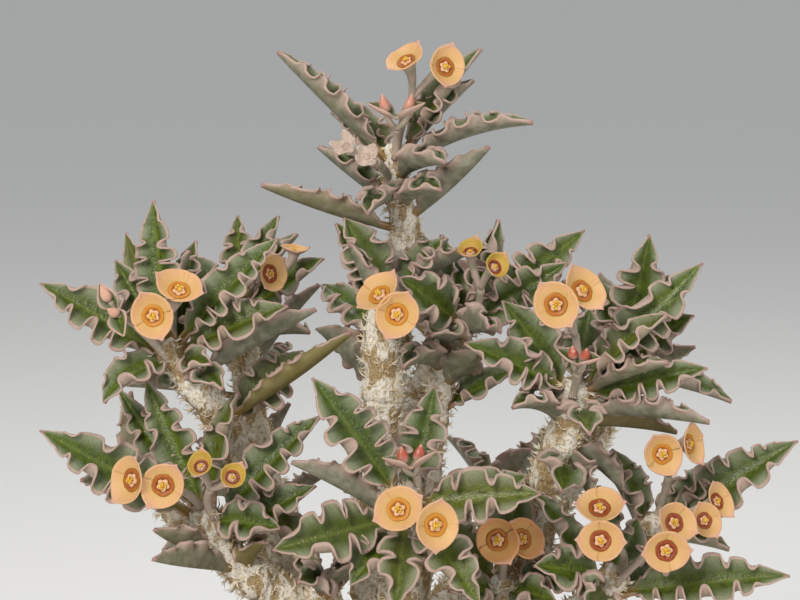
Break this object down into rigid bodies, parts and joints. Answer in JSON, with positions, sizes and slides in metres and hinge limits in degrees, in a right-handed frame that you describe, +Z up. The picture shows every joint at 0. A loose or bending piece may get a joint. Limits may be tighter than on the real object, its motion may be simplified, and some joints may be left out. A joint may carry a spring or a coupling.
{
  "type": "potted dwarf spurge",
  "caption": "Dwarf succulent spurge with shaggy limbs, crisped folded leaves and stalked bract cups, in a round clay pot that rests on its foot.",
  "frame": {"origin": "middle of the flat underside of the pot", "axes": "+Z up along the pot's axis; the plant's front, as pictured, faces -Y"},
  "size_m": [0.1516, 0.1169, 0.2068],
  "materials": {
    "terracotta": "unglazed fired clay, matt, with pale lime bloom",
    "soil": "loose mineral grit and sand, matt",
    "bark": "silvery peeling bark with spiky stipule fringes, matt",
    "leaf": "thick waxy leaf, satin, green above and grey-green below with a pinkish rim",
    "bract": "thin waxy bract, satin, peach with a pink edge"
  },
  "bodies": {
    "root": {"pot": "terracotta", "soil": "soil", "tuber_and_limbs": "bark", "leafy_shoot_centre": "leaf", "leafy_shoot_top": "leaf", "leafy_shoot_upper_left": "leaf", "leafy_shoot_left_middle": "leaf", "leafy_shoot_centre_right": "leaf", "leafy_shoot_right": "leaf", "leafy_shoot_right_back": "leaf", "leafy_shoot_lower_left": "leaf", "leafy_shoot_lower_centre": "leaf", "leafy_shoot_low_right": "leaf", "leafy_shoot_lower_right": "leaf", "leafy_shoot_far_right": "leaf", "leafy_shoot_low_left": "leaf", "leafy_shoot_back_left": "leaf", "leafy_shoot_back_centre": "leaf", "leafy_shoot_back_right": "leaf", "leafy_shoot_far_left": "leaf", "leafy_shoot_back_low_right": "leaf", "leafy_shoot_back_low_left": "leaf", "bloom_top_pair": "bract", "bloom_top_buds": "bract", "bloom_top_dry": "bract", "bloom_upper_left_pair": "bract", "bloom_upper_left_buds": "bract", "bloom_left_middle_bloom": "bract", "bloom_centre_pair": "bract", "bloom_centre_right_pair": "bract", "bloom_right_pair": "bract", "bloom_right_buds": "bract", "bloom_far_right_pair": "bract", "bloom_far_right_young": "bract", "bloom_lower_right_pair": "bract", "bloom_lower_right_young": "bract", "bloom_lower_left_pair": "bract", "bloom_lower_left_young": "bract", "bloom_lower_centre_pair": "bract", "bloom_lower_centre_buds": "bract", "bloom_low_right_pair": "bract", "bloom_back_left_pair": "bract", "bloom_back_centre_pair": "bract", "bloom_back_right_pair": "bract"}
  },
  "joints": []
}
